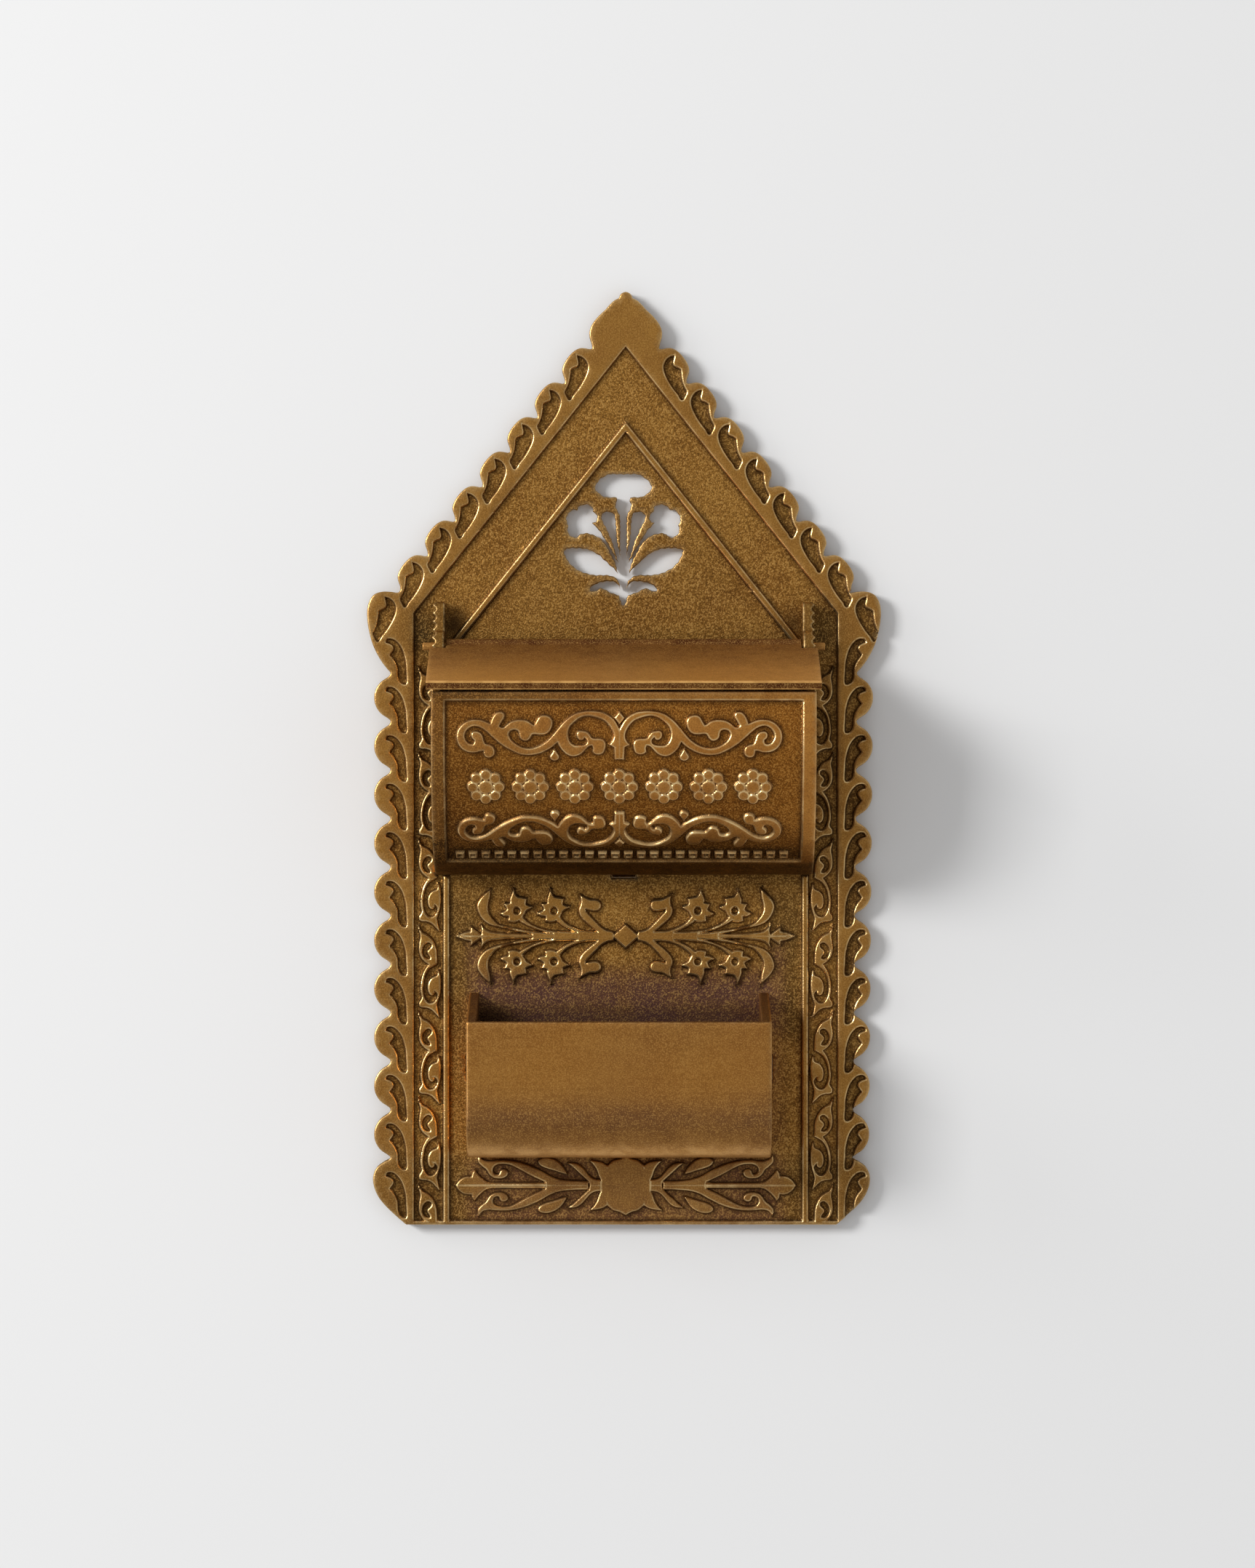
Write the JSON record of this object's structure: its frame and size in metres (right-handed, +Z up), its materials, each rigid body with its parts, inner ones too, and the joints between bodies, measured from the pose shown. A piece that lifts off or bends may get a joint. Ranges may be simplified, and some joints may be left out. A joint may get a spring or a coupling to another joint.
{
  "type": "wall match holder",
  "caption": "Wall-hung cast brass match holder with a scalloped, pierced back plate, a lidded box above and an open tray below.",
  "frame": {"origin": "on the wall plate's back face, on its centre line, at half its height", "axes": "+X to the right as seen from the room, +Y into the wall, +Z up"},
  "size_m": [0.1101, 0.0375, 0.2],
  "materials": {
    "cast_brass": "sand-cast antique brass, with dark patina in the recesses and worn bright edges",
    "lid_brass": "smooth satin brass, darkened, with bright worn edges"
  },
  "bodies": {
    "holder": {"back_plate": "cast_brass", "box_panel": "cast_brass", "box_cheek_left": "cast_brass", "box_cheek_right": "cast_brass", "tray_panel": "cast_brass", "tray_cheek_left": "cast_brass", "tray_cheek_right": "cast_brass"},
    "lid": {"lid": "lid_brass", "hinge_rod": "lid_brass"}
  },
  "joints": [
    {"name": "lid_hinge", "type": "hinge", "parent": "holder", "child": "lid", "pos_m": [-0.0004, -0.009, 0.0238], "axis": [-1, 0, 0], "range_deg": [0, 110]}
  ]
}
